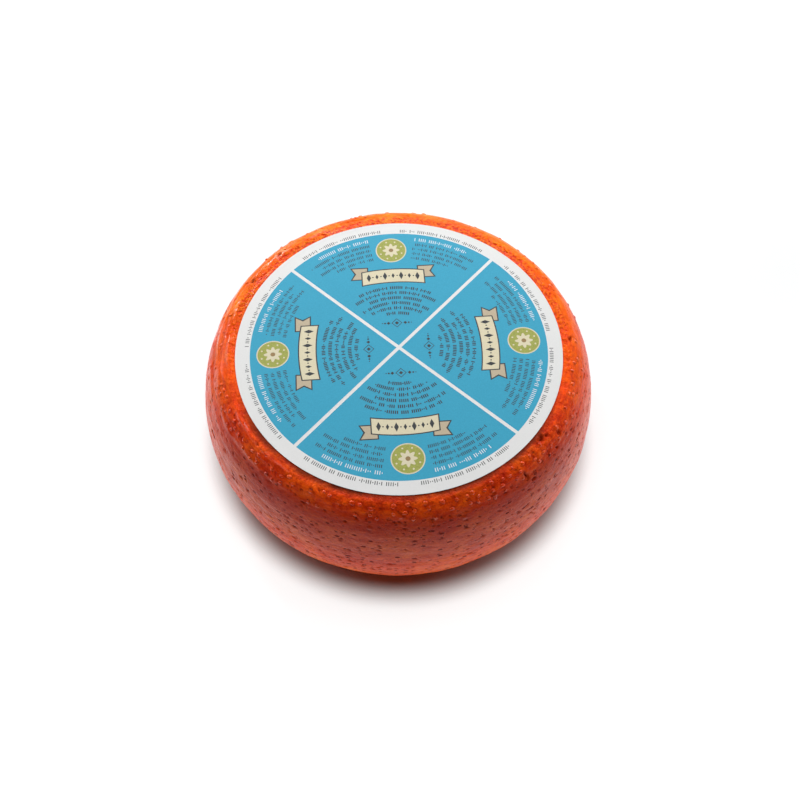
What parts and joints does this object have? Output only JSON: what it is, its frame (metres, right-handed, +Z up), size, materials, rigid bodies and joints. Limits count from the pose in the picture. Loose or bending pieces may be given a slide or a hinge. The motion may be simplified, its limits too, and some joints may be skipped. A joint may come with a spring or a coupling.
{
  "type": "pecorino cheese wheel",
  "caption": "Whole low round wheel of pecorino with bulging sides, a pitted glossy red-orange rind and a round blue paper label on its flat top.",
  "frame": {"origin": "middle of the flat base that the wheel rests on", "axes": "+Z up through the middle of the label; +X to the right and +Y away from the viewer as in the picture"},
  "size_m": [0.1881, 0.1878, 0.07],
  "materials": {
    "rind": "satin to glossy coloured coating over a pitted cheese rind, orange on the top edge and red on the side",
    "label": "matt printed paper, sky blue with a white rim and cross"
  },
  "bodies": {
    "root": {"cheese_wheel": "rind", "paper_label": "label"}
  },
  "joints": []
}
